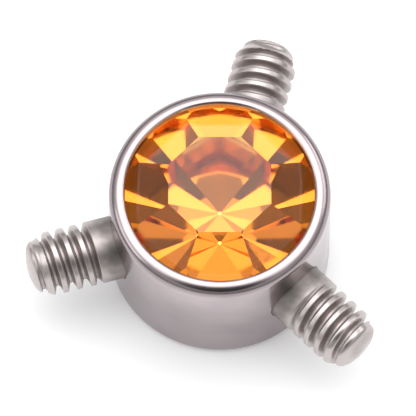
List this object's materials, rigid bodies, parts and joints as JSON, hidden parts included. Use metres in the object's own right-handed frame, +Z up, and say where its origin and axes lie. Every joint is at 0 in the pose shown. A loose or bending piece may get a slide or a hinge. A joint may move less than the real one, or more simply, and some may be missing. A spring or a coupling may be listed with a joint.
{
  "type": "bezel-set gem disc with three threaded posts",
  "caption": "Round steel disc for body jewellery with a faceted amber stone in a bezel on top and threaded posts standing radially out of its wall.",
  "frame": {"origin": "middle of the flat base, on the disc's axis", "axes": "+Z up the disc's axis and out through the stone's table, +Y out along the first post"},
  "size_m": [0.009, 0.008, 0.0044],
  "materials": {
    "polished_steel": "polished stainless steel with faint fine scratches",
    "thread_steel": "cut and tumbled stainless steel, darker in the thread's grooves",
    "amber_crystal": "faceted crystal glass with a foil-backed point"
  },
  "bodies": {
    "root": {"setting": "polished_steel", "stone": "amber_crystal", "threaded_post_1": "thread_steel", "threaded_post_2": "thread_steel", "threaded_post_3": "thread_steel"}
  },
  "joints": []
}
